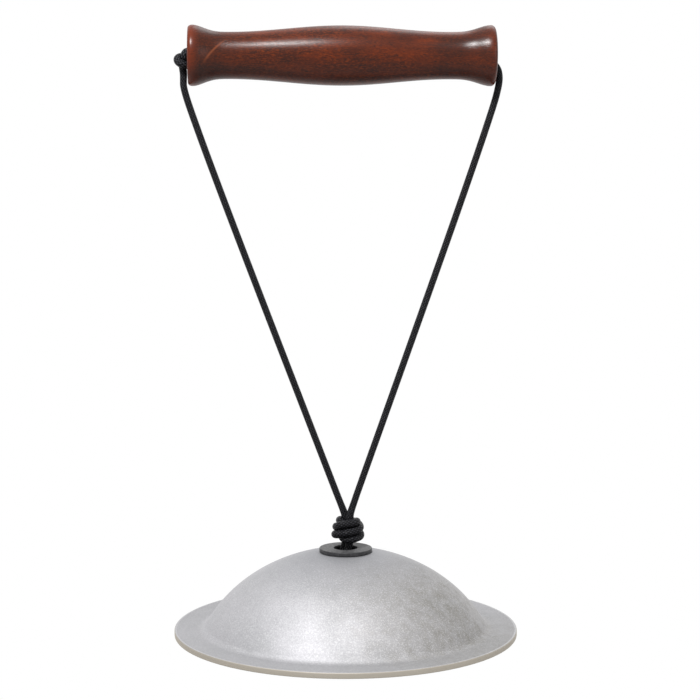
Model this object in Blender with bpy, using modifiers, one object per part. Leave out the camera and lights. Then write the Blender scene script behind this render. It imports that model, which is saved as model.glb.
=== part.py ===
"""A bell cymbal: a thick aluminium bell that hangs from a turned wooden handle on one braided cord.

Units are metres, +Z is up. The origin is the middle of the handle, on the axis of its bore, which lies
along X. The cord runs through the bore, is stopped by a knot at the left end, and its two legs come
together in a knot over the bell. Both strands then pass through a washer, the bell's hole and a second
washer, and end in a knot inside the bell.
"""

import math

import bpy
import numpy as np

# Gap left wherever two pieces touch
SEAT_GAP = 0.0003

# Handle, turned from one piece of hardwood
HANDLE_LENGTH = 0.1553
HANDLE_BELLY_DIAMETER = 0.0301
HANDLE_NECK_DIAMETER = 0.0236
HANDLE_RIM_DIAMETER = 0.0306
NECK_FROM_END = 0.0217
RIM_FROM_END = 0.0025
HANDLE_CORNER = 0.0022
FLARE_SHARPNESS = 1.6
BORE_DIAMETER = 0.0090
MOUTH_ROUNDING = 0.0055

# Bell, spun from thick sheet: a dome with a flat rim and a flat seat round its hole
BELL_DIAMETER = 0.1778
BELL_WALL = 0.0030
RIM_WIDTH = 0.0123
DOME_HEIGHT = 0.04057
DOME_FULLNESS = 0.00075
FOOT_FILLET = 0.0050
BELL_HOLE_DIAMETER = 0.0120
BREAK_EDGE = 0.0005

# Washers, one over the bell and one under it
WASHER_DIAMETER = 0.0273
WASHER_HOLE_DIAMETER = 0.0123
WASHER_THICKNESS = 0.0020
WASHER_EDGE = 0.0003
SEAT_MARGIN = 0.0005

# Cord, and how close its strands lie where the knots squeeze them
CORD_DIAMETER = 0.0035
KNOT_PITCH = 0.0036
KNOT_STRAND_GAP = 0.0005
NECK_TURN = math.radians(-54)

# Hang: the knots and the bell below the handle
BELL_OFFSET = 0.0018
SLING_HEIGHT = 0.2431
KNOT_OVER_WASHER = 0.0095
CROWN_KNOT_SHIFT = 0.0010
LEG_SLOPE = 0.37
BEND_LENGTH = 0.0074
TAIL_LENGTH = 0.0085
LEFT_LEG_BOW = 0.0013
RIGHT_LEG_BOW = 0.0012
HANDLE_KNOT_PITCH = 0.0031
HANDLE_KNOT_OUT = 0.0002
HANDLE_KNOT_DROP = 0.0016

# Fineness of the model
HANDLE_SIDES = 36
BELL_SIDES = 64
WASHER_SIDES = 36
LEG_STEP = 0.0070
KNOT_REACH = 3.3
LEFT_SPREAD_FROM = 1.15
RIGHT_SPREAD_FROM = 1.9
NECK_FROM = 1.8
NECK_REACH = 3.1


def material(name, colour, roughness, metallic=0.0):
    """A plain Principled material."""
    made = bpy.data.materials.new(name)
    made.use_nodes = True
    shader = made.node_tree.nodes["Principled BSDF"]
    shader.inputs["Base Color"].default_value = (*colour, 1.0)
    shader.inputs["Roughness"].default_value = roughness
    shader.inputs["Metallic"].default_value = metallic
    made.diffuse_color = (*colour, 1.0)
    return made


def length_of(vectors):
    """Length of each vector along the last axis."""
    return np.sqrt(vectors[..., 0] ** 2 + vectors[..., 1] ** 2 + vectors[..., 2] ** 2)


def evenly(points, count):
    """The same line through count points, evenly spaced along it."""
    run = np.concatenate([[0.0], np.cumsum(length_of(np.diff(points, axis=0)))])
    at = np.linspace(0.0, run[-1], count)
    return np.stack([np.interp(at, run, points[:, axis]) for axis in range(3)], axis=1)


def smooth_line(route, step, fine_run=0.0):
    """A smooth curve through a route's own points, as points about a step apart.

    They lie a third of a step apart along the first fine_run of it.
    """
    route = np.asarray(route, float)
    ends = np.vstack([2 * route[0] - route[1], route, 2 * route[-1] - route[-2]])
    t = np.linspace(0.0, 1.0, 24, endpoint=False)[:, None]
    fine = [
        0.5 * (2 * b + (c - a) * t + (2 * a - 5 * b + 4 * c - d) * t**2 + (3 * b - a - 3 * c + d) * t**3)
        for a, b, c, d in zip(ends, ends[1:], ends[2:], ends[3:])
    ]
    fine = np.vstack(fine + [route[-1:]])
    run = np.concatenate([[0.0], np.cumsum(length_of(np.diff(fine, axis=0)))])
    close = np.linspace(0.0, fine_run, round(3 * fine_run / step), endpoint=False)
    wide = np.linspace(fine_run, run[-1], max(3, round((run[-1] - fine_run) / step) + 1))
    at = np.append(close, wide)
    return np.stack([np.interp(at, run, fine[:, axis]) for axis in range(3)], axis=1)


def loose_overhand(across, along, count, reach):
    """A loose overhand knot about Z: x = t^3 - 3t, y = t^4 - 4t^2 + 2, z = 10t - t^5, then scaled."""
    t = np.linspace(-reach, reach, count)
    shape = np.stack([t**3 - 3 * t, t**4 - 4 * t**2 + 2, 10 * t - t**5], axis=1)
    return shape * np.array([across, across, along])


def pull_tight(strands, rounds, first_pull, last_pull, contacts):
    """Shorten strands whose ends are held until they lie one unit apart, as a knot is pulled tight.

    Each round draws every point towards the middle of its neighbours, which shortens the strand, and
    then pushes apart all points that are less than one unit from each other.
    """
    cuts = np.cumsum([len(s) for s in strands])[:-1]
    owner = np.repeat(np.arange(len(strands)), [len(s) for s in strands])
    place = np.concatenate([np.arange(len(s)) for s in strands])
    points = np.vstack(strands)
    held = np.concatenate([[0], cuts - 1, cuts, [len(points) - 1]])
    start = points[held].copy()
    inner = np.setdiff1d(np.arange(len(points)), held)
    same = owner[:, None] == owner
    apart = np.abs(place[:, None] - place)
    for turn in range(rounds):
        if turn % 8 == 0:
            points = np.vstack([evenly(s, len(s)) for s in np.split(points, cuts)])
            steps = [np.full(len(s), length_of(s[1:] - s[:-1]).mean()) for s in np.split(points, cuts)]
            neighbours = same & (apart * np.concatenate(steps) < 1.6)
        pull = first_pull + (last_pull - first_pull) * turn / rounds
        points[inner] += pull * (0.5 * (points[inner - 1] + points[inner + 1]) - points[inner])
        for _ in range(12 if turn == rounds - 1 else contacts):
            between = points[:, None] - points
            size = length_of(between)
            size[neighbours] = 9.0
            short = np.maximum(1.0 - size, 0.0)
            push = (0.5 * short / size)[..., None] * between
            hits = np.maximum((short > 0).sum(axis=0), 1)
            points += push.sum(axis=1) / np.sqrt(hits)[:, None]
            points[held] = start
    return np.split(points, cuts)


def turned_about_z(points, angle):
    """The same points turned about Z."""
    cosine, sine = math.cos(angle), math.sin(angle)
    return points @ np.array([[cosine, sine, 0.0], [-sine, cosine, 0.0], [0.0, 0.0, 1.0]])


def two_strand_knot():
    """The left and right strand of a double overhand knot in a doubled cord, in units of the strand pitch.

    The doubled cord comes down the middle, turns up, goes round itself twice and a bit, and leads down
    the middle again beside itself. This loose form is then pulled tight.
    """
    reach, turned, count = 6.0, math.radians(200), 110
    turns, wide, tall, inner = 2.15, 2.9, 2.0, 0.7
    side = 0.5 * np.array([math.cos(NECK_TURN), math.sin(NECK_TURN), 0.0])
    angle = math.pi + np.linspace(0.0, 2 * math.pi * turns, 31)[1:-1]
    coil = np.stack([wide * np.cos(angle), wide * np.sin(angle), np.linspace(-tall, tall, 31)[1:-1]], axis=1)
    down = [(0, 0, reach), (-0.5 * inner, 0, 0.6 * reach), (-inner, 0, tall + 0.5), (-inner, 0, 0),
            (-inner - 0.1, 0, -tall - 0.3), (-inner - 1.0, 0, -tall - 1.0)]
    through = [(-inner - 0.6, 0, tall + 0.9), (0.8 * inner, 0, tall + 0.6), (inner, 0, 0), (inner, 0, -tall),
               (0.5 * inner, 0, -0.6 * reach), (0, 0, -reach)]
    middle = smooth_line(turned_about_z(np.vstack([down, coil, through]), turned), 0.1)
    along = np.gradient(middle, axis=0)
    along /= length_of(along)[:, None]
    beside = 2 * side
    rows = []
    for direction in along:
        beside = beside - (beside * direction).sum() * direction
        beside = beside / length_of(beside)
        rows.append(beside)
    rows = np.array(rows)
    over = np.cross(along, rows)
    last_twist = math.atan2((over[-1] * side).sum(), (rows[-1] * side).sum())
    twist = last_twist * np.linspace(0.0, 1.0, len(rows))[:, None]
    offset = 0.55 * (rows * np.cos(twist) + over * np.sin(twist))
    strands = []
    for sign in (-1, 1):
        strand = evenly(middle + sign * offset, count)
        strand[0] = sign * side + [0, 0, reach]
        strand[-1] = sign * side - [0, 0, reach]
        strands.append(strand)
    return pull_tight(strands, 1200, 0.5, 0.05, 1)


def one_strand_knot():
    """An overhand knot in one cord, from the bore on its right to the leg below it, in units of pitch."""
    width, length, run = 0.85, 0.32, 1.95
    from_bore = np.array([[2.6, 0.0, -0.25], [2.0, 0.0, -0.25]])
    to_leg = np.array([[-0.6, 0.0, -1.7], [-0.6, 0.0, -2.4]])
    along = from_bore[1] - to_leg[0]
    along = along / length_of(along)
    across = np.array([0.0, -1.0, 0.0])
    up = np.array([along[1] * across[2] - along[2] * across[1],
                   along[2] * across[0] - along[0] * across[2],
                   along[0] * across[1] - along[1] * across[0]])
    loose = loose_overhand(width, length, 200, run)
    loop = np.array([-0.6, 0.0, 0.2]) + loose[:, :1] * across + loose[:, 1:2] * up + loose[:, 2:] * along
    strand = evenly(np.vstack([from_bore, loop, to_leg]), 70)
    return pull_tight([strand], 600, 0.45, 0.04, 2)[0]


def below(strand, level):
    """A strand from where it first comes down through a level."""
    first = int((strand[:, 2] < level).argmax())
    over, under = strand[first - 1], strand[first]
    share = (over[2] - level) / (over[2] - under[2])
    return np.vstack([over + share * (under - over), strand[first:]])


def into_neck(strand, line, end):
    """A strand led straight into the hole at one end of its knot, 1 for the top and -1 for the bottom.

    It stops half-way between the two knots, where the strand of the other knot begins.
    """
    stop = (crown_knot_z - tail_knot_z - SEAT_GAP) / 2
    reach = min(NECK_REACH * KNOT_PITCH, 0.94 * stop)
    height = end * strand[:, 2]
    share = np.clip((height - NECK_FROM * KNOT_PITCH) / (reach - NECK_FROM * KNOT_PITCH), 0.0, 1.0)[:, None]
    share = share**2 * (3 - 2 * share)
    led = strand.copy()
    led[:, :2] += share * (line[:2] - led[:, :2])
    inside = led[height < reach]
    last = np.array([line + [0, 0, end * reach], line + [0, 0, end * stop]])
    return np.vstack([inside, last]) if end < 0 else np.vstack([last[::-1], inside])


def wrap_top(strand):
    """Height of a strand's highest wrap: its top after it has come down into the knot and turned."""
    first_turn = int((np.diff(strand[:, 2]) > 0).argmax())
    return strand[first_turn:, 2].max()


def least_gap(strands, diameter):
    """The least gap between strands, or between turns of one strand, measured on their points."""
    points = np.vstack(strands)
    owner = np.repeat(np.arange(len(strands)), [len(s) for s in strands])
    place = np.concatenate([np.arange(len(s)) for s in strands])
    step = length_of(np.diff(strands[0], axis=0)).mean()
    near = (owner[:, None] == owner) & (np.abs(place[:, None] - place) * step < 1.7 * diameter)
    size = length_of(points[:, None] - points)
    return size[~near].min() - diameter


def tube(name, points, pivot, finish, diameters):
    """A cord stretch: a round tube along points given in world coordinates."""
    curve = bpy.data.curves.new(name, "CURVE")
    curve.dimensions = "3D"
    curve.bevel_depth = 0.5
    curve.bevel_resolution = 2
    curve.use_fill_caps = True
    spline = curve.splines.new("POLY")
    spline.points.add(len(points) - 1)
    local = points - np.array(pivot["place"])
    for point, place, diameter in zip(spline.points, local, np.broadcast_to(diameters, len(points))):
        point.co = (*place, 1.0)
        point.radius = diameter
    curve.materials.append(finish)
    return add(name, curve, pivot)


def turned(name, outline, sides, pivot, finish, turn=(0.0, 0.0, 0.0)):
    """A turned piece: a closed outline of (radius, height) points, swept round Z by a Screw modifier."""
    mesh = bpy.data.meshes.new(name)
    corners = [(radius, 0.0, height) for radius, height in outline]
    mesh.from_pydata(corners, [(k, (k + 1) % len(corners)) for k in range(len(corners))], [])
    made = add(name, mesh, pivot)
    made.rotation_euler = turn
    screw = made.modifiers.new("turn", "SCREW")
    screw.axis = "Z"
    screw.steps = sides
    screw.render_steps = sides
    screw.use_merge_vertices = True
    screw.merge_threshold = 0.00001
    solid = bpy.data.meshes.new_from_object(made.evaluated_get(bpy.context.evaluated_depsgraph_get()))
    solid.shade_smooth()
    solid.set_sharp_from_angle(angle=math.radians(32))
    solid.materials.append(finish)
    made.modifiers.clear()
    made.data = solid
    return made


def add(name, data, pivot):
    """A new object of the bell cymbal that hangs on a pivot."""
    made = bpy.data.objects.new(name, data)
    made.parent = pivot["empty"]
    parts.objects.link(made)
    return made


def pivot_at(name, place, parent=None):
    """An empty on a joint's axis, which carries the pieces that turn about it."""
    empty = bpy.data.objects.new(name, None)
    empty.empty_display_size = 0.01
    base = (0.0, 0.0, 0.0)
    if parent:
        empty.parent = parent["empty"]
        base = parent["place"]
    empty.location = [a - b for a, b in zip(place, base)]
    parts.objects.link(empty)
    return {"empty": empty, "place": place}


def arc(centre, radius, start, end, count):
    """Points of a circle's arc between two angles in degrees."""
    angles = np.radians(np.linspace(start, end, count))
    return [(centre[0] + radius * math.cos(a), centre[1] + radius * math.sin(a)) for a in angles]


def ease(t):
    """0 to 1 along half a cosine."""
    return 0.5 - 0.5 * math.cos(math.pi * t)


def handle_outline():
    """The handle's section: a belly, a neck near each end and a flared, rounded rim, then the bore."""
    half = HANDLE_LENGTH / 2
    belly, neck, rim = (d / 2 for d in (HANDLE_BELLY_DIAMETER, HANDLE_NECK_DIAMETER, HANDLE_RIM_DIAMETER))
    bore = BORE_DIAMETER / 2
    end = []
    for t in np.linspace(0, 1, 5):
        turn = t * math.pi / 2
        end.append((rim - HANDLE_CORNER * (1 - math.sin(turn)), half - RIM_FROM_END * (1 - math.cos(turn))))
    flare = []
    for t in np.linspace(1, 0, 8)[1:]:
        from_end = NECK_FROM_END - t * (NECK_FROM_END - RIM_FROM_END)
        flare.append((neck + (rim - neck) * ease(t**FLARE_SHARPNESS), half - from_end))
    swell = []
    for t in np.linspace(0, 1, 8)[1:]:
        swell.append((neck + (belly - neck) * ease(t), (1 - t) * (half - NECK_FROM_END)))
    mouth = arc((bore + MOUTH_ROUNDING, half - MOUTH_ROUNDING), MOUTH_ROUNDING, 180, 90, 6)
    top = mouth + end + flare + swell
    bottom = [(r, -z) for r, z in reversed(top) if z > 0]
    return top + bottom


def dome(radius):
    """Height over the rim and slope of the dome's outer side.

    It is a cap of a sphere through the top and the dome's foot, a little fuller at the shoulder.
    """
    foot = BELL_DIAMETER / 2 - RIM_WIDTH - 0.6 * FOOT_FILLET
    sphere = (foot**2 + DOME_HEIGHT**2) / (2 * DOME_HEIGHT)
    level = math.sqrt(sphere**2 - radius**2)
    share = radius / foot
    fuller = 6.75 * DOME_FULLNESS
    height = DOME_HEIGHT - sphere + level + fuller * share**4 * (1 - share**2)
    slope = -radius / level + fuller * (4 * share**3 - 6 * share**5) / foot
    return height, slope


def dome_normal(radius):
    """The direction straight out of the dome's outer side."""
    slope = dome(radius)[1]
    size = math.hypot(1.0, slope)
    return -slope / size, 1.0 / size


def seat_radius():
    """Radius of the flat that is pressed in the crown for the washer."""
    return WASHER_DIAMETER / 2 + SEAT_MARGIN


def seat_height():
    """Height of the crown's flat over the rim's top face."""
    return dome(seat_radius())[0]


def bell_outline():
    """The bell's section: the outer side from the hole to the rim, then the inner side back.

    The inner side lies one wall in from the outer side, square to it.
    """
    edge = BELL_DIAMETER / 2
    hole = BELL_HOLE_DIAMETER / 2
    radii = np.linspace(seat_radius(), edge, 400)
    offset = [(r + FOOT_FILLET * dome_normal(r)[0], dome(r)[0] + FOOT_FILLET * dome_normal(r)[1])
              for r in radii if r < edge - RIM_WIDTH - 0.7 * FOOT_FILLET]
    last = next(k for k, (_, z) in enumerate(offset) if z < FOOT_FILLET or k == len(offset) - 1)
    centre = (offset[last][0], FOOT_FILLET)
    lean = math.degrees(math.atan2(*dome_normal(radii[last])[::-1]))
    outer = [(r, dome(r)[0], *dome_normal(r)) for r in np.linspace(seat_radius(), radii[last], 13)[:-1]]
    for angle in np.linspace(180 + lean, 270, 5):
        away = math.cos(math.radians(angle)), math.sin(math.radians(angle))
        outer.append((centre[0] + FOOT_FILLET * away[0], centre[1] + FOOT_FILLET * away[1], -away[0], -away[1]))
    outside = [(hole + BREAK_EDGE, seat_height())] + [(r, z) for r, z, _, _ in outer]
    inside = [(r - BELL_WALL * n, z - BELL_WALL * m) for r, z, n, m in outer]
    inside = [(hole + BREAK_EDGE, seat_height() - BELL_WALL)] + inside
    rim = arc((edge - BREAK_EDGE, -BREAK_EDGE), BREAK_EDGE, 90, 0, 3)
    rim += arc((edge - BREAK_EDGE, BREAK_EDGE - BELL_WALL), BREAK_EDGE, 0, -90, 3)
    bore = [(hole, seat_height() - BELL_WALL + BREAK_EDGE), (hole, seat_height() - BREAK_EDGE)]
    return outside + rim + inside[::-1] + bore


def washer_outline():
    """A flat washer's section, centred on its thickness, with its edges broken."""
    outer, hole, half = WASHER_DIAMETER / 2, WASHER_HOLE_DIAMETER / 2, WASHER_THICKNESS / 2
    return [
        (hole + WASHER_EDGE, half),
        (outer - WASHER_EDGE, half),
        (outer, half - WASHER_EDGE),
        (outer, WASHER_EDGE - half),
        (outer - WASHER_EDGE, -half),
        (hole + WASHER_EDGE, -half),
        (hole, WASHER_EDGE - half),
        (hole, half - WASHER_EDGE),
    ]


def leg_line(first, rim_side, last, bow):
    """One leg: from its own first points past the handle's rim, then nearly straight to the crown knot.

    The straight stretch bows sideways most in its upper third, where the cord springs off the rim.
    """
    start, end = np.array(first[-1]), np.array(last)
    route = list(first)
    for t in (0.03, 0.08, 0.16, 0.26, 0.38, 0.52, 0.68, 0.84):
        bulge = rim_side * bow * math.sin(math.pi * math.sqrt(t))
        route.append(tuple(start + t * (end - start) + [bulge, 0.0, 0.0]))
    return smooth_line(route + [tuple(end)], LEG_STEP, HANDLE_RIM_DIAMETER)


for old in list(bpy.data.objects):
    bpy.data.objects.remove(old)

parts = bpy.data.collections.new("bell_cymbal")
bpy.context.scene.collection.children.link(parts)

wood = material("stained_hardwood", (0.16, 0.042, 0.018), 0.32)
metal = material("blasted_aluminium", (0.74, 0.74, 0.75), 0.42, 1.0)
rubber = material("dark_rubber", (0.05, 0.05, 0.052), 0.6)
braid = material("black_braided_nylon", (0.008, 0.008, 0.010), 0.75)

# One shape serves the crown knot and the tail knot, which lies close under the lower washer
knot_strand = KNOT_PITCH - KNOT_STRAND_GAP
knot_shape = [strand * KNOT_PITCH for strand in two_strand_knot()]
knot_half = max(wrap_top(strand) for strand in knot_shape) + knot_strand / 2
print("least gap in the two-strand knots, mm:", round(1000 * least_gap(knot_shape, knot_strand), 2))

# Heights that follow from the hang
knot_end = KNOT_REACH * KNOT_PITCH
crown_knot_z = -SLING_HEIGHT
washer_top = crown_knot_z - KNOT_OVER_WASHER
upper_washer_z = washer_top - WASHER_THICKNESS / 2
seat_z = washer_top - WASHER_THICKNESS - SEAT_GAP
rim_top_z = seat_z - seat_height()
lower_washer_z = seat_z - BELL_WALL - SEAT_GAP - WASHER_THICKNESS / 2
tail_knot_z = lower_washer_z - WASHER_THICKNESS / 2 - SEAT_GAP - knot_half
bend_z = crown_knot_z + knot_end + SEAT_GAP + BEND_LENGTH / 2

# Pivots, each on its joint's axis
root = pivot_at("handle_middle", (0.0, 0.0, 0.0))
sling = pivot_at("sling_pivot", (0.0, 0.0, 0.0), root)
knot = pivot_at("nod_pivot", (BELL_OFFSET, 0.0, bend_z), sling)
seat = pivot_at("sway_pivot", (BELL_OFFSET, 0.0, tail_knot_z), knot)

turned("handle", handle_outline(), HANDLE_SIDES, root, wood, (0.0, math.pi / 2, 0.0))

bell = turned("bell", bell_outline(), BELL_SIDES, seat, metal)
bell.location = (0.0, 0.0, rim_top_z - tail_knot_z)
upper = turned("upper_washer", washer_outline(), WASHER_SIDES, seat, rubber)
upper.location = (0.0, 0.0, upper_washer_z - tail_knot_z)
lower = turned("lower_washer", washer_outline(), WASHER_SIDES, seat, rubber)
lower.location = (0.0, 0.0, lower_washer_z - tail_knot_z)

# Crown knot, whose legs spread to the sling's slope, and tail knot
ends = {}
spread = (LEFT_SPREAD_FROM, RIGHT_SPREAD_FROM)
for side, word, spread_from, strand in zip((-1, 1), ("left", "right"), spread, knot_shape):
    neck = 0.5 * side * KNOT_PITCH * np.array([math.cos(NECK_TURN), math.sin(NECK_TURN), 0.0])
    crown = np.vstack([below(strand, knot_end)[:-1], strand[-1]])
    over = np.maximum(crown[:, 2] - spread_from * KNOT_PITCH, 0.0)
    over[over.argmin():] = 0.0
    crown[:, 0] += side * LEG_SLOPE * over**2 / (over + 0.6 * KNOT_PITCH)
    crown[:, 0] += CROWN_KNOT_SHIFT
    crown = into_neck(crown, neck, -1) + [BELL_OFFSET, 0, crown_knot_z]
    thicker = over[:len(crown)] / over[0]
    tube("crown_knot_" + word, crown, knot, braid, knot_strand + (CORD_DIAMETER - knot_strand) * thicker)
    tail = -below(-strand[::-1], knot_half + TAIL_LENGTH)[::-1]
    tail = into_neck(tail, neck, 1) + [BELL_OFFSET, 0, tail_knot_z]
    tube("tail_knot_" + word, tail, knot, braid, knot_strand)
    lean = (crown[0] - crown[1]) / length_of(crown[0] - crown[1])
    bend = np.linspace(crown[0] + SEAT_GAP * lean, crown[0] + (SEAT_GAP + BEND_LENGTH) * lean, 4)
    tube(word + "_bend", bend, sling, braid, CORD_DIAMETER)
    ends[word] = bend[-1] + SEAT_GAP * lean

# Handle knot, in the mouth of the bore at the left end
half = HANDLE_LENGTH / 2
touch = CORD_DIAMETER / 2 + SEAT_GAP
knot_place = np.array([-half - HANDLE_KNOT_OUT, 0.0, -HANDLE_KNOT_DROP])
handle_strand = HANDLE_KNOT_PITCH - KNOT_STRAND_GAP
stopper = one_strand_knot()
stopper = np.vstack([stopper[0] + [0.2, 0, 0], stopper, stopper[-1] - [0, 0, 0.2]]) * HANDLE_KNOT_PITCH + knot_place
print("least gap in the handle knot, mm:", round(1000 * least_gap([stopper], handle_strand), 2))
tube("handle_knot", stopper, sling, braid, handle_strand)

# The cord in the bore lies on the bore's lowest line at the right and rises to the knot at the left
bore_low = touch - BORE_DIAMETER / 2
bore_end = half - 2 * MOUTH_ROUNDING
bore_line = [stopper[0] + [SEAT_GAP, 0, 0], (-half / 2, 0, bore_low / 2), (0, 0, bore_low), (bore_end, 0, bore_low)]
tube("bore_cord", smooth_line(bore_line, LEG_STEP), sling, braid, CORD_DIAMETER - 2 * SEAT_GAP)

# Left leg: down from the knot beside the end face
left_first = [
    tuple(stopper[-1] - [0, 0, SEAT_GAP]),
    (-half - touch - 0.0001, 0.0, -0.0128),
    (-half - touch, 0.0, -HANDLE_RIM_DIAMETER / 2 - 0.0003),
]
tube("left_leg", leg_line(left_first, -1, ends["left"], LEFT_LEG_BOW), sling, braid, CORD_DIAMETER)

# Right leg: out of the bore, round its mouth and down the end face
mouth_centre = (half - MOUTH_ROUNDING, -BORE_DIAMETER / 2 - MOUTH_ROUNDING)
round_mouth = arc(mouth_centre, MOUTH_ROUNDING + touch, 90, 0, 5)
right_first = [(bore_end + SEAT_GAP, 0.0, bore_low)]
right_first += [(x, 0.0, z) for x, z in round_mouth]
right_first += [
    (half + touch, 0.0, -0.0126),
    (half + touch - 0.0005, 0.0, -HANDLE_RIM_DIAMETER / 2 - 0.0006),
]
tube("right_leg", leg_line(right_first, 1, ends["right"], RIGHT_LEG_BOW), sling, braid, CORD_DIAMETER)
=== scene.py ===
"""A bell cymbal hung from a turned wooden handle on one braided cord, lit in a pale studio.

All sizes are in metres. The frame's origin is the middle of the handle's bore, with the bore along X
and Z up. Every shape is worked out as a whole grid of points: a section turned round an axis, or a
round section carried along the cord's line.
"""

import math

import bpy
import numpy as np
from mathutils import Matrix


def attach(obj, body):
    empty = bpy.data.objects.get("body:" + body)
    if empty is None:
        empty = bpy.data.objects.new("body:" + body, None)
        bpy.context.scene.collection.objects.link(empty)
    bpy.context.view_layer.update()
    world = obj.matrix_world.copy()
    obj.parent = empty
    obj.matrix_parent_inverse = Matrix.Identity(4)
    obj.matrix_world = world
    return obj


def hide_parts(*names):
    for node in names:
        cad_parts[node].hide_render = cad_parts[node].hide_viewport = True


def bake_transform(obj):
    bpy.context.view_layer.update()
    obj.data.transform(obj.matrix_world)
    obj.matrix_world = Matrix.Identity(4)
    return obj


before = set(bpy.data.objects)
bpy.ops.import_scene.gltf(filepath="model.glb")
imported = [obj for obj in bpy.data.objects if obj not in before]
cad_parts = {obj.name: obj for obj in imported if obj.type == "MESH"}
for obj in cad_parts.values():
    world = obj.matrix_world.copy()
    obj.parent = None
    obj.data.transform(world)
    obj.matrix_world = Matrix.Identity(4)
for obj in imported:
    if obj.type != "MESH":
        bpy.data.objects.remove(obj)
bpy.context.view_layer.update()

# Handle
HANDLE_LENGTH = 0.1553
BELLY_RADIUS = 0.01505
LEFT_NECK = (-0.0568, 0.01178)
RIGHT_NECK = (0.0543, 0.01187)
RIM_RADIUS = 0.01530
LEFT_CORNER = 0.0014
RIGHT_CORNER = 0.0024
CORNER_REACH = 0.0024
FACE_DISH = 0.0002
BORE_RADIUS = 0.0045
MOUTH_ROUNDING = 0.0055

# Bell
BELL_AXIS_X = 0.0018
BELL_RADIUS = 0.0889
BELL_WALL = 0.0030
BELL_EDGE = 0.0005
DOME_FOOT = 0.0736
DOME_HEIGHT = 0.04057
DOME_FULLNESS = 0.00075
FOOT_FILLET = 0.0050
SEAT_RADIUS = 0.01415
BELL_HOLE = 0.0060
HOLE_EDGE = 0.0004

# Washers
WASHER_RADIUS = 0.01365
WASHER_HOLE = 0.00615
WASHER_THICKNESS = 0.0020
WASHER_EDGE = 0.00035

# Cord: NECK_FROM, NECK_REACH, KNOT_REACH and the two SPREAD values count in knot pitches
CORD_DIAMETER = 0.0035
KNOT_PITCH = 0.0036
HANDLE_KNOT_PITCH = 0.0031
HANDLE_KNOT_OUT = 0.0002
HANDLE_KNOT_DROP = 0.0016
KNOT_STRAND_GAP = 0.0005
NECK_TURN = math.radians(-54)
LEG_SLOPE = 0.37
CROWN_KNOT_SHIFT = 0.0010
NECK_FROM = 1.8
NECK_REACH = 3.1
LEFT_SPREAD_FROM = 1.15
RIGHT_SPREAD_FROM = 1.9
KNOT_REACH = 3.3
TAIL_LENGTH = 0.0085
BEND_LENGTH = 0.0074
TOUCH_GAP = 0.0003
CORD_STEP = 0.0004
KNOT_SWELL = 0.58
TIP_LENGTH = 0.0012

# Heights below the bore axis
CROWN_KNOT_Z = -0.2431
WASHER_TOP_Z = -0.2526
SEAT_Z = -0.2549
LOWER_WASHER_Z = -0.2592
TAIL_KNOT_Z = -0.266512


def length_of(vectors):
    """Length of each vector along the last axis."""
    return np.sqrt(vectors[..., 0] ** 2 + vectors[..., 1] ** 2 + vectors[..., 2] ** 2)


def evenly(points, count):
    """The same line through count points, evenly spaced along it."""
    run = np.concatenate([[0.0], np.cumsum(length_of(np.diff(points, axis=0)))])
    at = np.linspace(0.0, run[-1], count)
    return np.stack([np.interp(at, run, points[:, axis]) for axis in range(3)], axis=1)


def smooth_line(route, step):
    """Points a step apart on the cardinal spline through a route's own points."""
    route = np.asarray(route, float)
    ends = np.vstack([2 * route[0] - route[1], route, 2 * route[-1] - route[-2]])
    t = np.linspace(0.0, 1.0, 24, endpoint=False)[None, :, None]
    a, b, c, d = (ends[k:len(ends) - 3 + k, None] for k in range(4))
    fine = 0.5 * (2 * b + (c - a) * t + (2 * a - 5 * b + 4 * c - d) * t**2
                  + (3 * b - a - 3 * c + d) * t**3)
    fine = np.vstack([fine.reshape(-1, 3), route[-1:]])
    run = length_of(np.diff(fine, axis=0)).sum()
    return evenly(fine, max(3, round(run / step) + 1))


def loose_overhand(across, along, count, reach):
    """A loose overhand knot about Z: x = t^3 - 3t, y = t^4 - 4t^2 + 2, z = 10t - t^5, then scaled."""
    t = np.linspace(-reach, reach, count)
    shape = np.stack([t**3 - 3 * t, t**4 - 4 * t**2 + 2, 10 * t - t**5], axis=1)
    return shape * np.array([across, across, along])


def pull_tight(strands, rounds, first_pull, last_pull, contacts):
    """Shorten strands whose ends are held until they lie one unit apart, as a knot is pulled tight.

    Each round draws every point towards the middle of its neighbours and then pushes apart all points
    that are less than one unit from each other, other than near ones of the same strand. Every eighth
    round spaces each strand's points evenly again, and the last one pushes more often.
    """
    near_on_strand, last_contacts, out_of_reach = 1.6, 12, 9.0
    cuts = np.cumsum([len(s) for s in strands])[:-1]
    owner = np.repeat(np.arange(len(strands)), [len(s) for s in strands])
    place = np.concatenate([np.arange(len(s)) for s in strands])
    points = np.vstack(strands)
    held = np.concatenate([[0], cuts - 1, cuts, [len(points) - 1]])
    start = points[held].copy()
    inner = np.setdiff1d(np.arange(len(points)), held)
    same = owner[:, None] == owner
    apart = np.abs(place[:, None] - place)
    for turn in range(rounds):
        if turn % 8 == 0:
            points = np.vstack([evenly(s, len(s)) for s in np.split(points, cuts)])
            steps = [np.full(len(s), length_of(s[1:] - s[:-1]).mean()) for s in np.split(points, cuts)]
            neighbours = same & (apart * np.concatenate(steps) < near_on_strand)
        pull = first_pull + (last_pull - first_pull) * turn / rounds
        points[inner] += pull * (0.5 * (points[inner - 1] + points[inner + 1]) - points[inner])
        for _ in range(last_contacts if turn == rounds - 1 else contacts):
            between = points[:, None] - points
            size = length_of(between)
            size[neighbours] = out_of_reach
            short = np.maximum(1.0 - size, 0.0)
            push = (0.5 * short / size)[..., None] * between
            hits = np.maximum((short > 0).sum(axis=0), 1)
            points += push.sum(axis=1) / np.sqrt(hits)[:, None]
            points[held] = start
    return np.split(points, cuts)


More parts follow.
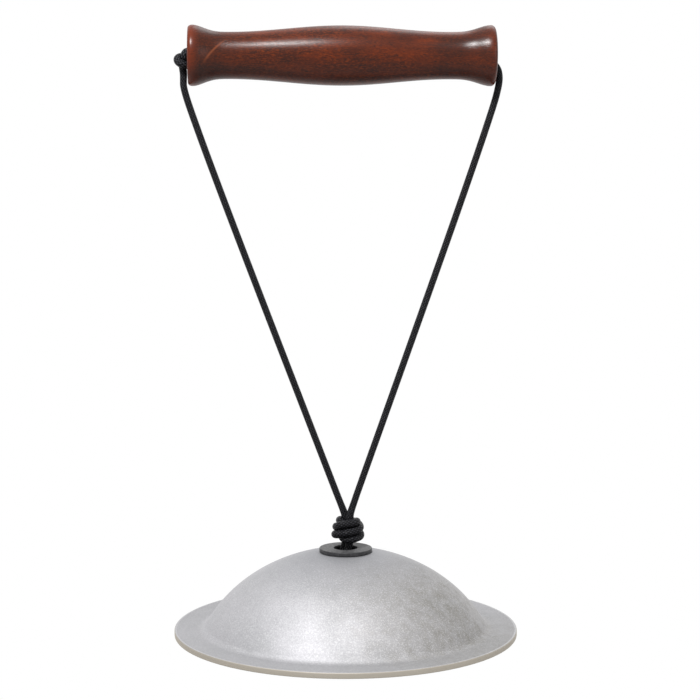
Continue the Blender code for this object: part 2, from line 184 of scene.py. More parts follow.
def carried_beside(line, beside):
    """Directions square to a line that start at beside and are carried along it without twist."""
    along = np.gradient(line, axis=0)
    along /= length_of(along)[:, None]
    rows = []
    for direction in along:
        beside = beside - (beside * direction).sum() * direction
        beside = beside / length_of(beside)
        rows.append(beside)
    return along, np.array(rows)


def turned_about_z(points, angle):
    """The same points turned about Z."""
    cosine, sine = math.cos(angle), math.sin(angle)
    return points @ np.array([[cosine, sine, 0.0], [-sine, cosine, 0.0], [0.0, 0.0, 1.0]])


def two_strand_knot():
    """The left and right strand of a double overhand knot in a doubled cord, in units of pitch.

    The doubled cord comes down the middle, turns up, goes round itself twice and a bit, and leads down
    the middle again beside itself. This loose form is then pulled tight.
    """
    reach, turned, count, coil_count = 6.0, math.radians(200), 110, 31
    turns, wide, tall, inner = 2.15, 2.9, 2.0, 0.7
    side = 0.5 * np.array([math.cos(NECK_TURN), math.sin(NECK_TURN), 0.0])
    angle = math.pi + np.linspace(0.0, 2 * math.pi * turns, coil_count)[1:-1]
    rise = np.linspace(-tall, tall, coil_count)[1:-1]
    coil = np.stack([wide * np.cos(angle), wide * np.sin(angle), rise], axis=1)
    down = [(0, 0, reach), (-0.5 * inner, 0, 0.6 * reach), (-inner, 0, tall + 0.5), (-inner, 0, 0),
            (-inner - 0.1, 0, -tall - 0.3), (-inner - 1.0, 0, -tall - 1.0)]
    through = [(-inner - 0.6, 0, tall + 0.9), (0.8 * inner, 0, tall + 0.6), (inner, 0, 0),
               (inner, 0, -tall), (0.5 * inner, 0, -0.6 * reach), (0, 0, -reach)]
    middle = smooth_line(turned_about_z(np.vstack([down, coil, through]), turned), 0.1)
    along, rows = carried_beside(middle, 2 * side)
    over = np.cross(along, rows)
    last_twist = math.atan2((over[-1] * side).sum(), (rows[-1] * side).sum())
    twist = last_twist * np.linspace(0.0, 1.0, len(rows))[:, None]
    offset = 0.55 * (rows * np.cos(twist) + over * np.sin(twist))
    strands = []
    for sign in (-1, 1):
        strand = evenly(middle + sign * offset, count)
        strand[0] = sign * side + [0, 0, reach]
        strand[-1] = sign * side - [0, 0, reach]
        strands.append(strand)
    return pull_tight(strands, rounds=1200, first_pull=0.5, last_pull=0.05, contacts=1)


def one_strand_knot():
    """An overhand knot in one cord, from the bore on its right to the leg below, in units of pitch."""
    from_bore = np.array([[2.6, 0.0, -0.25], [2.0, 0.0, -0.25]])
    to_leg = np.array([[-0.6, 0.0, -1.7], [-0.6, 0.0, -2.4]])
    along = from_bore[1] - to_leg[0]
    along = along / length_of(along)
    across = np.array([0.0, -1.0, 0.0])
    up = np.cross(along, across)
    middle = np.array([-0.6, 0.0, 0.2])
    loose = loose_overhand(across=0.85, along=0.32, count=200, reach=1.95)
    loop = middle + loose[:, :1] * across + loose[:, 1:2] * up + loose[:, 2:] * along
    strand = evenly(np.vstack([from_bore, loop, to_leg]), 70)
    return pull_tight([strand], rounds=600, first_pull=0.45, last_pull=0.04, contacts=2)[0]


def below(strand, level):
    """A strand from where it first comes down through a level."""
    first = int((strand[:, 2] < level).argmax())
    over, under = strand[first - 1], strand[first]
    share = (over[2] - level) / (over[2] - under[2])
    return np.vstack([over + share * (under - over), strand[first:]])


def into_neck(strand, line, end):
    """A strand led straight into the hole at one end of its knot: 1 is the top, -1 the bottom."""
    stop = (CROWN_KNOT_Z - TAIL_KNOT_Z - TOUCH_GAP) / 2
    start = NECK_FROM * KNOT_PITCH
    reach = min(NECK_REACH * KNOT_PITCH, 0.94 * stop)
    height = end * strand[:, 2]
    share = np.clip((height - start) / (reach - start), 0.0, 1.0)[:, None]
    share = share**2 * (3 - 2 * share)
    led = strand.copy()
    led[:, :2] += share * (line[:2] - led[:, :2])
    inside = led[height < reach]
    last = np.array([line + [0, 0, end * reach], line + [0, 0, end * stop]])
    return np.vstack([inside, last]) if end < 0 else np.vstack([last[::-1], inside])


def two_strand_lines():
    """The lines of each strand through the crown knot and through the tail knot, left and right."""
    shape = [strand * KNOT_PITCH for strand in two_strand_knot()]
    wrap_top = max(strand[int((np.diff(strand[:, 2]) > 0).argmax()):, 2].max() for strand in shape)
    knot_half = wrap_top + (KNOT_PITCH - KNOT_STRAND_GAP) / 2
    lines = {}
    spread = (LEFT_SPREAD_FROM, RIGHT_SPREAD_FROM)
    for side, word, spread_from, strand in zip((-1, 1), ("left", "right"), spread, shape):
        neck = 0.5 * side * KNOT_PITCH * np.array([math.cos(NECK_TURN), math.sin(NECK_TURN), 0.0])
        crown = np.vstack([below(strand, KNOT_REACH * KNOT_PITCH)[:-1], strand[-1]])
        over = np.maximum(crown[:, 2] - spread_from * KNOT_PITCH, 0.0)
        over[over.argmin():] = 0.0
        crown[:, 0] += side * LEG_SLOPE * over**2 / (over + 0.6 * KNOT_PITCH) + CROWN_KNOT_SHIFT
        crown = into_neck(crown, neck, -1) + [BELL_AXIS_X, 0, CROWN_KNOT_Z]
        tail = -below(-strand[::-1], knot_half + TAIL_LENGTH)[::-1]
        tail = into_neck(tail, neck, 1) + [BELL_AXIS_X, 0, TAIL_KNOT_Z]
        lines[word] = (crown, tail)
    return lines


def leg_route(first, rim_side, last, bow):
    """One leg's own points: past the handle's rim, then nearly straight to the crown knot."""
    start, end = np.array(first[-1]), np.array(last)
    t = np.array([0.03, 0.08, 0.16, 0.26, 0.38, 0.52, 0.68, 0.84])[:, None]
    bulge = rim_side * bow * np.sin(math.pi * np.sqrt(t)) * np.array([[1.0, 0.0, 0.0]])
    return np.vstack([first, start + t * (end - start) + bulge, end])


def cord_line():
    """The whole cord: from one tail in the bell up the left leg, through the bore and down again.

    Each stretch is a smooth line of its own; they are joined end to end and spaced evenly.
    """
    lines = two_strand_lines()
    half = HANDLE_LENGTH / 2
    touch = CORD_DIAMETER / 2 + TOUCH_GAP
    stopper = one_strand_knot()
    stopper = np.vstack([stopper[0] + [0.2, 0, 0], stopper, stopper[-1] - [0, 0, 0.2]])
    stopper = stopper * HANDLE_KNOT_PITCH + [-half - HANDLE_KNOT_OUT, 0.0, -HANDLE_KNOT_DROP]
    ends = {}
    for word, (crown, _) in lines.items():
        lean = (crown[0] - crown[1]) / length_of(crown[0] - crown[1])
        ends[word] = crown[0] + (2 * TOUCH_GAP + BEND_LENGTH) * lean
    bore_low = touch - BORE_RADIUS
    bore_end = half - 2 * MOUTH_ROUNDING
    left = leg_route([
        stopper[-1] - [0, 0, TOUCH_GAP],
        (-half - touch - 0.0001, 0.0, -0.0128),
        (-half - touch, 0.0, -RIM_RADIUS - 0.0003),
    ], rim_side=-1, last=ends["left"], bow=0.0013)
    turn = np.radians(np.linspace(90, 0, 5))
    mouth = np.stack([half - MOUTH_ROUNDING + (MOUTH_ROUNDING + touch) * np.cos(turn), 0 * turn,
                      -BORE_RADIUS - MOUTH_ROUNDING + (MOUTH_ROUNDING + touch) * np.sin(turn)], axis=1)
    right = leg_route(np.vstack([
        (bore_end + TOUCH_GAP, 0.0, bore_low),
        mouth,
        (half + touch, 0.0, -0.0126),
        (half + touch - 0.0005, 0.0, -RIM_RADIUS - 0.0006),
    ]), rim_side=1, last=ends["right"], bow=0.0012)
    bore = np.array([stopper[0], (-half / 2, 0, bore_low / 2), (0, 0, bore_low),
                     (bore_end, 0, bore_low)])
    stretches = [lines["left"][1][::-1], lines["left"][0][::-1], left[::-1], stopper[::-1], bore,
                 right, lines["right"][0], lines["right"][1]]
    joined = np.vstack([smooth_line(stretch, CORD_STEP) for stretch in stretches])
    return evenly(joined, round(length_of(np.diff(joined, axis=0)).sum() / CORD_STEP))


def shifted_mean(line, reach):
    """A line with each inner point moved to the weighted mean of the points within reach steps of it."""
    weight = np.hanning(2 * reach + 3)[1:-1]
    weight = weight / weight.sum()
    padded = np.vstack([2 * line[0] - line[reach:0:-1], line, 2 * line[-1] - line[-2:-reach - 2:-1]])
    return np.stack([np.convolve(padded[:, k], weight, mode="valid") for k in range(3)], axis=1)


def put_in_mesh(name, points, quads, triangles=None, uv=None, smooth=True):
    """A new object of the scene from whole arrays of corners and faces."""
    mesh = bpy.data.meshes.new(name)
    faces = [quads] if triangles is None else [quads, triangles]
    corners = np.concatenate([f.ravel() for f in faces])
    totals = np.concatenate([np.full(len(f), f.shape[1]) for f in faces])
    starts = np.concatenate([[0], np.cumsum(totals)[:-1]])
    mesh.vertices.add(len(points))
    mesh.vertices.foreach_set("co", np.ascontiguousarray(points, np.float32).ravel())
    mesh.loops.add(len(corners))
    mesh.loops.foreach_set("vertex_index", corners.astype(np.int32))
    mesh.polygons.add(len(totals))
    mesh.polygons.foreach_set("loop_start", starts.astype(np.int32))
    mesh.polygons.foreach_set("use_smooth", np.full(len(totals), smooth))
    if uv is not None:
        layer = mesh.uv_layers.new(name="braid")
        layer.data.foreach_set("uv", np.ascontiguousarray(uv, np.float32).ravel())
    mesh.update(calc_edges=True)
    mesh.validate()
    made = bpy.data.objects.new(name, mesh)
    bpy.context.scene.collection.objects.link(made)
    return made


def turned_surface(name, outline, sides, axis="Z", centre=(0.0, 0.0, 0.0)):
    """A closed section of (radius, height) points turned round an axis.

    The point at angle a is (radius cos a, radius sin a, height), or with the height along X. The
    section comes down its outer side, so that the faces point outwards.
    """
    outline = np.asarray(outline, float)
    angle = np.linspace(0.0, 2 * math.pi, sides, endpoint=False)
    radius, height = outline[:, :1], outline[:, 1:]
    flat = np.broadcast_to(height, (len(outline), sides))
    if axis == "Z":
        grid = np.stack([radius * np.cos(angle), radius * np.sin(angle), flat], axis=-1)
    else:
        grid = np.stack([flat, radius * np.cos(angle), radius * np.sin(angle)], axis=-1)
    row, column = np.meshgrid(np.arange(len(outline)), np.arange(sides), indexing="ij")
    below_row, next_column = (row + 1) % len(outline), (column + 1) % sides
    quads = np.stack([row * sides + column, below_row * sides + column,
                      below_row * sides + next_column, row * sides + next_column], axis=-1)
    return put_in_mesh(name, grid.reshape(-1, 3) + np.array(centre), quads.reshape(-1, 4))


def arc(centre, radius, start, end, count):
    """Points of a circle's arc between two angles in degrees."""
    angle = np.radians(np.linspace(start, end, count))
    return np.stack([centre[0] + radius * np.cos(angle), centre[1] + radius * np.sin(angle)], axis=1)


def handle_outline():
    """The handle's section: half cosines from belly to neck and from neck to flared rim.

    It starts in the middle of the bore, goes round the right end, along the outer side to the left
    end and back into the bore.
    """
    half = HANDLE_LENGTH / 2
    rim_x = half - CORNER_REACH
    mouth_radius = BORE_RADIUS + MOUTH_ROUNDING
    t = np.linspace(0, 1, 60)
    turn = np.linspace(0, math.pi / 2, 12)
    sides = []
    for sign, (neck_x, neck_r), corner in ((-1, LEFT_NECK, LEFT_CORNER), (1, RIGHT_NECK, RIGHT_CORNER)):
        swell = np.stack([BELLY_RADIUS + (neck_r - BELLY_RADIUS) * (0.5 - 0.5 * np.cos(math.pi * t)),
                          t * abs(neck_x)], axis=1)
        flare = np.stack([neck_r + (RIM_RADIUS - neck_r) * (0.5 - 0.5 * np.cos(math.pi * t**1.6)),
                          abs(neck_x) + t * (rim_x - abs(neck_x))], axis=1)
        edge = np.stack([RIM_RADIUS - corner * (1 - np.cos(turn)),
                         rim_x + (half - FACE_DISH - rim_x) * np.sin(turn)], axis=1)
        face = np.stack([np.linspace(edge[-1, 0] - 0.0006, mouth_radius + 0.0004, 8),
                         half - FACE_DISH * np.linspace(0.9, 0.1, 8)], axis=1)
        mouth = arc((mouth_radius, half - MOUTH_ROUNDING), MOUTH_ROUNDING, 90, 180, 20)
        bore = np.stack([np.full(12, BORE_RADIUS),
                         np.linspace(half - MOUTH_ROUNDING - 0.002, 0.002, 12)], axis=1)
        side = np.vstack([swell[:-1], flare[:-1], edge, face, mouth, bore])
        sides.append(side * [1, sign])
    left, right = sides
    return np.vstack([right[::-1], left[1:]])


def dome(radius):
    """Height over the rim and slope of the dome: a cap of a sphere, a little fuller at the shoulder.

    What is added is a bump of s^4 - s^6 in the share s of the foot's radius, at most DOME_FULLNESS.
    """
    sphere = (DOME_FOOT**2 + DOME_HEIGHT**2) / (2 * DOME_HEIGHT)
    level = np.sqrt(sphere**2 - radius**2)
    share = radius / DOME_FOOT
    fuller = 6.75 * DOME_FULLNESS
    height = DOME_HEIGHT - sphere + level + fuller * share**4 * (1 - share**2)
    return height, -radius / level + fuller * (4 * share**3 - 6 * share**5) / DOME_FOOT


def bell_outline():
    """The bell's section: dome, foot fillet and flat rim outside, and the same one wall further in."""
    radius = np.linspace(SEAT_RADIUS, DOME_FOOT, 2000)
    height, slope = dome(radius)
    size = np.sqrt(1 + slope**2)
    normal = np.stack([-slope / size, 1 / size], axis=1)
    side = np.stack([radius, height], axis=1)
    last = int((height + FOOT_FILLET * normal[:, 1] < FOOT_FILLET).argmax())
    centre = side[last] + FOOT_FILLET * normal[last]
    lean = math.degrees(math.atan2(normal[last, 1], normal[last, 0]))
    pick = np.linspace(0, last, 110).astype(int)[:-1]
    turn = np.radians(np.linspace(180 + lean, 270, 16))
    away = np.stack([np.cos(turn), np.sin(turn)], axis=1)
    outer = np.vstack([side[pick], centre + FOOT_FILLET * away])
    outward = np.vstack([normal[pick], -away])
    inner = outer - BELL_WALL * outward
    seat = side[0, 1]
    first = BELL_HOLE + 0.0005
    top = np.array([(r, seat) for r in (first, 0.009, 0.0118, 0.0137)])
    under = np.array([(r, seat - BELL_WALL) for r in (first, 0.009, 0.0115, 0.0131)])
    flat = np.linspace(centre[0] + 0.001, BELL_RADIUS - 0.0008, 12)
    rim_top = np.stack([flat, 0 * flat], axis=1)
    rim_under = rim_top[::-1] - [0, BELL_WALL]
    edge_x, hole_x = BELL_RADIUS - BELL_EDGE, BELL_HOLE + HOLE_EDGE
    edge = np.vstack([arc((edge_x, -BELL_EDGE), BELL_EDGE, 90, 0, 7),
                      arc((edge_x, BELL_EDGE - BELL_WALL), BELL_EDGE, 0, -90, 7)])
    hole = np.vstack([arc((hole_x, seat - BELL_WALL + HOLE_EDGE), HOLE_EDGE, 270, 180, 4),
                      arc((hole_x, seat - HOLE_EDGE), HOLE_EDGE, 180, 90, 4)])
    return np.vstack([top, outer, rim_top, edge, rim_under, inner[::-1], under[::-1], hole])


def washer_outline():
    """A flat washer's section about its middle, with rounded edges."""
    half, edge, inset = WASHER_THICKNESS / 2, WASHER_EDGE, 0.0008
    outer, hole = WASHER_RADIUS, WASHER_HOLE
    flat = np.linspace(hole + inset, outer - inset, 10)
    return np.vstack([
        np.stack([flat, 0 * flat + half], axis=1),
        arc((outer - edge, half - edge), edge, 90, 0, 6),
        arc((outer - edge, edge - half), edge, 0, -90, 6),
        np.stack([flat[::-1], 0 * flat - half], axis=1),
        arc((hole + edge, edge - half), edge, 270, 180, 6),
        arc((hole + edge, half - edge), edge, 180, 90, 6),
    ])


def cord_surface(name, line, sides=24):
    """A round braid carried along a line.

    The section is a circle that a knot squeezes: where another turn of the cord lies near, each point
    of the section is cut back to the plane just short of halfway to it. Both ends close in a melted,
    rounded tip. The line is worked through in windows of a few points, so that the tables stay small.
    """
    window, halfway = 60, 0.496
    near_by, further_on = 1.3 * CORD_DIAMETER, 1.9 * CORD_DIAMETER
    run = np.concatenate([[0.0], np.cumsum(length_of(np.diff(line, axis=0)))])
    along, beside = carried_beside(line, np.array([0.0, 1.0, 0.0]))
    over = np.cross(along, beside)
    angle = np.linspace(0.0, 2 * math.pi, sides, endpoint=False)
    out = beside[:, None] * np.cos(angle)[:, None] + over[:, None] * np.sin(angle)[:, None]
    reach = np.full((len(line), sides), KNOT_SWELL * CORD_DIAMETER)
    squeezed = np.zeros(len(line))
    for first in range(0, len(line), window):
        rows = slice(first, first + window)
        way = line[None] - line[rows][:, None]
        size = length_of(way)
        close = (size < near_by) & (np.abs(run - run[rows][:, None]) > further_on)
        near = np.flatnonzero(close.any(axis=0))
        if len(near):
            toward = way[:, near] / np.maximum(size[:, near, None], 1e-9)
            facing = out[rows] @ np.swapaxes(toward, 1, 2)
            limit = halfway * size[:, None, near] / np.maximum(facing, 1e-6)
            limit = np.where(close[:, None, near], limit, reach[0, 0])
            reach[rows] = np.minimum(reach[rows], limit.min(axis=2))
            squeezed[rows] = close.any(axis=1)
    weight = np.hanning(41)
    squeezed = np.convolve(squeezed, weight / weight.sum(), mode="same")
    reach = np.minimum(reach, (CORD_DIAMETER * (0.5 + (KNOT_SWELL - 0.5) * squeezed))[:, None])
    from_end = np.minimum(run, run[-1] - run)
    tip = np.clip(from_end / TIP_LENGTH, 0.0, 1.0)
    reach = reach * np.sqrt(1 - (1 - np.maximum(tip, 0.02)) ** 2)[:, None]
    grid = line[:, None] + out * reach[..., None]
    count = len(line)
    row, column = np.meshgrid(np.arange(count - 1), np.arange(sides), indexing="ij")
    next_column = (column + 1) % sides
    quads = np.stack([row * sides + column, row * sides + next_column,
                      (row + 1) * sides + next_column, (row + 1) * sides + column], axis=-1)
    poles = count * sides + np.arange(2)
    ring = np.arange(sides)
    after = (ring + 1) % sides
    lid = (count - 1) * sides
    triangles = np.vstack([np.stack([np.full(sides, poles[0]), after, ring], axis=1),
                           np.stack([np.full(sides, poles[1]), lid + ring, lid + after], axis=1)])
    turn = column / sides
    uv = np.stack([np.stack([turn, turn + 1 / sides, turn + 1 / sides, turn], axis=-1),
                   np.stack([run[row], run[row], run[row + 1], run[row + 1]], axis=-1)], axis=-1)
    cap = np.zeros((len(triangles) * 3, 2))
    cap[len(cap) // 2:, 1] = run[-1]
    points = np.vstack([grid.reshape(-1, 3), line[:1], line[-1:]])
    uv = np.vstack([uv.reshape(-1, 2), cap])
    return put_in_mesh(name, points, quads.reshape(-1, 4), triangles, uv)


def linear(code):
    """The linear colour of an sRGB hex code."""
    part = np.array([int(code[k:k + 2], 16) / 255 for k in (1, 3, 5)])
    straight = np.where(part <= 0.04045, part / 12.92, ((part + 0.055) / 1.055) ** 2.4)
    return (*straight.tolist(), 1.0)


def lay(tree, kind, inputs=(), **settings):
    """One more node: its settings by name, then each input as a value or another node's output."""
    made = tree.nodes.new("ShaderNode" + kind)
    for name, value in settings.items():
        setattr(made, name, value)
    for socket, value in dict(inputs).items():
        if isinstance(value, bpy.types.NodeSocket):
            tree.links.new(value, made.inputs[socket])
        else:
            made.inputs[socket].default_value = value
    return made


def new_finish(name):
    """An empty material and its node tree."""
    made = bpy.data.materials.new(name)
    made.use_nodes = True
    made.node_tree.nodes.clear()
    return made, made.node_tree


def stained_hardwood():
    """Beech or maple turned on a lathe, stained red-brown and given a thin satin lacquer.

    The stain lies dark in the pores and the soft bands and leaves short orange flecks between them. On
    the turned rims it is thinner and redder, and painted light makes the left rim lighter still. Painted
    shade darkens the necks, the left one most. The highlight is long and soft, broken by the grain.
    """
    made, tree = new_finish("stained_hardwood_lacquered")
    place = lay(tree, "TexCoord").outputs["Object"]
    along = lay(tree, "SeparateXYZ", {0: place}).outputs

    def grain(scale, detail, distortion, low, high, most=1.0):
        """Noise drawn out along the handle, between two of its levels."""
        drawn = lay(tree, "Mapping", {"Vector": place, "Scale": scale}).outputs[0]
        noise = lay(tree, "TexNoise", {"Vector": drawn, "Scale": 1.0, "Detail": detail,
                                       "Roughness": 0.62, "Distortion": distortion}).outputs[0]
        return lay(tree, "MapRange", {"Value": noise, "From Min": low, "From Max": high,
                                      "To Max": most}).outputs[0]

    # Growth bands 5 mm apart and 60 mm long
    bands = grain((16.0, 200.0, 200.0), 4.0, 0.6, 0.36, 0.66)
    # Figure: short waves, 0.8 mm wide and 3 mm long
    figure = grain((330.0, 1250.0, 1250.0), 4.0, 0.6, 0.40, 0.62, 0.50)
    # Orange flecks where the stain is thin, 0.5 mm wide and 1.6 mm long
    flecks = grain((620.0, 2000.0, 2000.0), 3.0, 0.3, 0.47, 0.66, 0.50)
    # Blotches 25 mm long where the stain took unevenly
    uneven = grain((38.0, 90.0, 90.0), 2.0, 0.0, 0.45, 0.70, 0.30)
    # Darker clouds 40 mm long where it lay on thicker
    thick = grain((24.0, 62.0, 62.0), 2.0, 0.0, 0.46, 0.66, 0.60)
    # Pores: dark dashes 0.4 mm wide and 2.5 mm long, coarser than in beech so that they show
    pores = grain((400.0, 2400.0, 2400.0), 1.0, 0.0, 0.60, 0.70, 0.65)
    stains_and_painted_light = [(bands, "#6A2605"), (figure, "#320F02"), (flecks, "#98400A"), (uneven, "#7E300C"),
              (thick, "#240B04")]

    # Painted shade in the necks, and on the rims' corners a thinner, redder stain with painted light,
    # more so on the left
    rim = HANDLE_LENGTH / 2
    for end, neck_shade_share, rim_stain_and_light_share in ((-1, 0.60, 0.50), (1, 0.28, 0.20)):
        toward = lay(tree, "Math", {0: along[0], 1: end}, operation="MULTIPLY").outputs[0]
        for near, far, most, code in ((0.040, 0.064, neck_shade_share, "#2A1006"),
                                      (rim - 0.0065, rim - 0.0015, rim_stain_and_light_share, "#8A3616")):
            share = lay(tree, "MapRange", {"Value": toward, "From Min": near, "From Max": far,
                                           "To Max": most}).outputs[0]
            stains_and_painted_light.append((share, code))

    # A curved rub on the front by the left neck, about 1.3 mm wide. With h the height over -3.6 mm, it
    # lies where x = -0.0692 + 0.55 h + 36 h^2, and it fades at its foot and at its head
    height = lay(tree, "Math", {0: along[2], 1: -0.0036}, operation="SUBTRACT").outputs[0]
    square = lay(tree, "Math", {0: height, 1: height}, operation="MULTIPLY").outputs[0]
    bent = lay(tree, "Math", {0: square, 1: 36.0, 2: -0.0692}, operation="MULTIPLY_ADD").outputs[0]
    course = lay(tree, "Math", {0: height, 1: 0.55, 2: bent}, operation="MULTIPLY_ADD").outputs[0]
    aside = lay(tree, "Math", {0: along[0], 1: course}, operation="SUBTRACT").outputs[0]
    aside = lay(tree, "Math", {0: aside}, operation="ABSOLUTE").outputs[0]
    rub = lay(tree, "MapRange", {"Value": aside, "From Min": 0.0002, "From Max": 0.0011,
                                 "To Min": 0.42, "To Max": 0.0}).outputs[0]
    foot = lay(tree, "MapRange", {"Value": height, "From Min": -0.001, "From Max": 0.003}).outputs[0]
    head = lay(tree, "MapRange", {"Value": height, "From Min": 0.0075, "From Max": 0.0120,
                                  "To Min": 1.0, "To Max": 0.0}).outputs[0]
    front = lay(tree, "Math", {0: along[1], 1: 0.0}, operation="LESS_THAN").outputs[0]
    for share in (foot, head, front):
        rub = lay(tree, "Math", {0: rub, 1: share}, operation="MULTIPLY").outputs[0]

    # Each stain, painted shade and painted light by its share over the ones before, with the pores and
    # the rub on top
    base = linear("#341004")
    for share, code in stains_and_painted_light + [(pores, "#180804"), (rub, "#A85A34")]:
        base = lay(tree, "Mix", {0: share, 6: base, 7: linear(code)}, data_type="RGBA").outputs[2]
    relief = lay(tree, "Math", {0: figure, 1: pores}, operation="ADD").outputs[0]
    bump = lay(tree, "Bump", {"Height": relief, "Strength": 0.5, "Distance": 0.00004},
               invert=True).outputs[0]
    gloss = lay(tree, "MapRange", {"Value": figure, "To Min": 0.34, "To Max": 0.44}).outputs[0]
    shader = lay(tree, "BsdfPrincipled", {"Base Color": base, "Roughness": gloss, "Normal": bump,
                                          "Specular IOR Level": 0.02, "Coat Weight": 0.5,
                                          "Coat Roughness": 0.27, "Coat IOR": 1.5, "Coat Normal": bump})
    lay(tree, "OutputMaterial", {"Surface": shader.outputs[0]})
    return made


def blasted_aluminium():
    """Aluminium sheet pressed into a dome and bead-blasted to a satin.

    The blasting leaves an even grit. Oxide has dulled the dome in soft clouds. Painted shade makes its
    right flank darker and warmer, mottled in blots, and darkens the crown round the washer and the foot
    and flat rim. The rim's corners carry a painted highlight. The turned edge of the rim is duller and
    warmer than its faces.
    """
    made, tree = new_finish("blasted_aluminium_satin")
    place = lay(tree, "TexCoord").outputs["Object"]

    def spots(scale, detail, low, high, most=1.0):
        """Even noise between two of its levels."""
        noise = lay(tree, "TexNoise", {"Vector": place, "Scale": scale, "Detail": detail,
                                       "Roughness": 0.55}).outputs[0]
        return lay(tree, "MapRange", {"Value": noise, "From Min": low, "From Max": high,
                                      "To Max": most}).outputs[0]

    # Clouds 30 mm across
    clouds = spots(34.0, 3.0, 0.35, 0.70)

    # Painted shade down the right flank of the dome, darker and warmer, broken into blots of 4 to 10 mm
    flank = lay(tree, "VectorMath", {0: place, 1: (0.060, -0.040, -0.283)},
                operation="SUBTRACT").outputs[0]
    flank = lay(tree, "VectorMath", {0: flank}, operation="LENGTH").outputs["Value"]
    flank = lay(tree, "MapRange", {"Value": flank, "From Min": 0.010, "From Max": 0.095,
                                   "To Min": 1.0, "To Max": 0.0},
                interpolation_type="SMOOTHSTEP").outputs[0]
    blots = spots(190.0, 5.0, 0.02, 0.90)
    flank_shade = lay(tree, "Math", {0: flank, 1: blots}, operation="MULTIPLY").outputs[0]

    # Grit of the blasting and paler specks, 0.7 to 0.8 mm across: coarser than real so that they show
    grit = spots(1300.0, 3.0, 0.32, 0.68, 0.5)
    specks = spots(1500.0, 2.0, 0.48, 0.74, 0.42)

    # Painted shade on the crown round the washer and on the foot and flat rim, by the distance from the
    # axis
    inward = lay(tree, "VectorMath", {0: place, 1: (BELL_AXIS_X, 0.0, 0.0)},
                 operation="SUBTRACT").outputs[0]
    inward = lay(tree, "VectorMath", {0: inward, 1: (1.0, 1.0, 0.0)}, operation="MULTIPLY").outputs[0]
    inward = lay(tree, "VectorMath", {0: inward}, operation="LENGTH").outputs["Value"]
    crown = lay(tree, "MapRange", {"Value": inward, "From Min": 0.015, "From Max": 0.050,
                                   "To Min": 0.6, "To Max": 0.0}).outputs[0]
    rim_shade = lay(tree, "MapRange", {"Value": inward, "From Min": 0.0735, "From Max": 0.0770,
                                    "To Max": 0.40}).outputs[0]

    # The rim's corners, broken with a file: about 0.8 mm wide and smoother, with a painted highlight
    # that makes them a little brighter
    beside = lay(tree, "Math", {0: inward, 1: BELL_RADIUS - 0.0007}, operation="SUBTRACT").outputs[0]
    beside = lay(tree, "Math", {0: beside}, operation="ABSOLUTE").outputs[0]
    corner = lay(tree, "MapRange", {"Value": beside, "From Min": 0.0003, "From Max": 0.0005,
                                    "To Min": 1.0, "To Max": 0.0}).outputs[0]
    corner_highlight = lay(tree, "Math", {0: corner, 1: 0.22}, operation="MULTIPLY").outputs[0]
    # The turned edge between them
    edge = lay(tree, "MapRange", {"Value": inward, "From Min": BELL_RADIUS - 0.00035,
                                  "From Max": BELL_RADIUS - 0.00010}).outputs[0]

    # Each colour by its share over the ones before, the painted shades and the painted highlight among
    # them
    base = linear("#BBBABD")
    for share, code in ((clouds, "#ADADAF"), (flank_shade, "#797569"), (grit, "#97979A"), (specks, "#DADADB"),
                        (crown, "#8F9094"), (rim_shade, "#949496"), (corner_highlight, "#F2F2F4"), (edge, "#ADA79D")):
        base = lay(tree, "Mix", {0: share, 6: base, 7: linear(code)}, data_type="RGBA").outputs[2]
    rough = lay(tree, "MapRange", {"Value": clouds, "To Min": 0.69, "To Max": 0.75}).outputs[0]
    rough = lay(tree, "Mix", {0: corner, 2: rough, 3: 0.42}).outputs[0]
    relief = lay(tree, "Math", {0: grit, 1: specks}, operation="ADD").outputs[0]
    bump = lay(tree, "Bump", {"Height": relief, "Strength": 0.15, "Distance": 0.0001}).outputs[0]
    shader = lay(tree, "BsdfPrincipled", {"Base Color": base, "Metallic": 1.0, "Roughness": rough,
                                          "Normal": bump})
    lay(tree, "OutputMaterial", {"Surface": shader.outputs[0]})
    return made


def dark_rubber():
    """Hard rubber washer, die-cut from sheet: dull, dark grey, with patchy dust 1.4 mm across.

    The flats are painted paler than the cut edges, as painted light. A face counts as flat by how far
    its normal is upright.
    """
    made, tree = new_finish("dark_rubber_die_cut")
    place = lay(tree, "TexCoord").outputs["Object"]
    dust = lay(tree, "TexNoise", {"Vector": place, "Scale": 700.0, "Detail": 4.0,
                                  "Roughness": 0.65}).outputs[0]
    share = lay(tree, "MapRange", {"Value": dust, "From Min": 0.4, "From Max": 0.7}).outputs[0]
    # Dusty colours for the cut edges and for the flats; the flats' pair is paler, as painted light
    side, flat = (
        lay(tree, "Mix", {0: share, 6: linear(clean), 7: linear(dusty)}, data_type="RGBA").outputs[2]
        for clean, dusty in (("#28282A", "#404042"), ("#444445", "#6C6C6D")))
    # Painted light: the more upright a face's normal, the more it takes the paler pair
    upward = lay(tree, "SeparateXYZ", {0: lay(tree, "TexCoord").outputs["Normal"]}).outputs[2]
    upward = lay(tree, "Math", {0: upward}, operation="ABSOLUTE").outputs[0]
    faces = lay(tree, "MapRange", {"Value": upward, "From Min": 0.75, "From Max": 0.98}).outputs[0]
    base = lay(tree, "Mix", {0: faces, 6: side, 7: flat}, data_type="RGBA").outputs[2]
    bump = lay(tree, "Bump", {"Height": dust, "Strength": 0.3, "Distance": 0.0001}).outputs[0]
    shader = lay(tree, "BsdfPrincipled", {"Base Color": base, "Roughness": 0.5, "Normal": bump,
                                          "Specular IOR Level": 0.35})
    lay(tree, "OutputMaterial", {"Surface": shader.outputs[0]})
    return made


